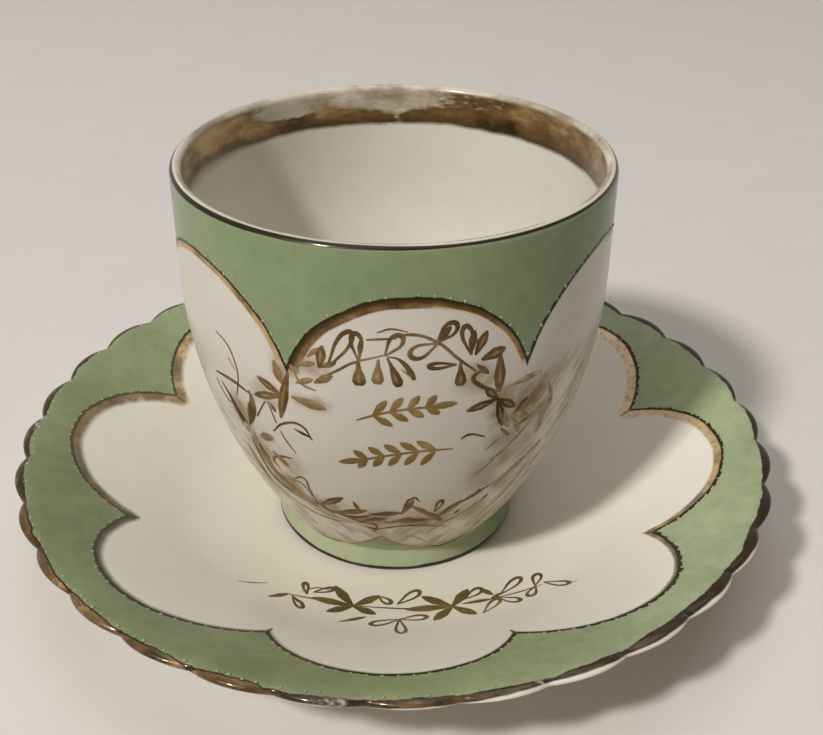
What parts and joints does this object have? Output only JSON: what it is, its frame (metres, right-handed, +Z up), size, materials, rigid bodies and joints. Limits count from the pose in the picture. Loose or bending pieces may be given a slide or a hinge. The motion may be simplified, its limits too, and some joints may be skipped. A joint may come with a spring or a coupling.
{
  "type": "cup and saucer",
  "caption": "Tall porcelain cup with a loop handle and a short foot, standing in the well of a scalloped saucer, with a sage green ground, white reserves and gilt borders.",
  "frame": {"origin": "centre of the saucer's foot ring, on the table", "axes": "+Z up, -Y towards the viewer, the handle at +Y"},
  "size_m": [0.1604, 0.1604, 0.0863],
  "materials": {
    "saucer_glaze": "glossy glaze with a pale green border and a worn gilt edge",
    "cup_glaze": "glossy glaze with a sage green ground, white panels and gilt lines",
    "handle_glaze": "glossy white glaze with a gilt line"
  },
  "bodies": {
    "saucer": {"saucer": "saucer_glaze"},
    "cup": {"cup_body": "cup_glaze", "cup_handle": "handle_glaze"}
  },
  "joints": [
    {"name": "cup_lift", "type": "slide", "parent": "saucer", "child": "cup", "axis": [0, 0, 1], "range_m": [0, 0.06]}
  ]
}
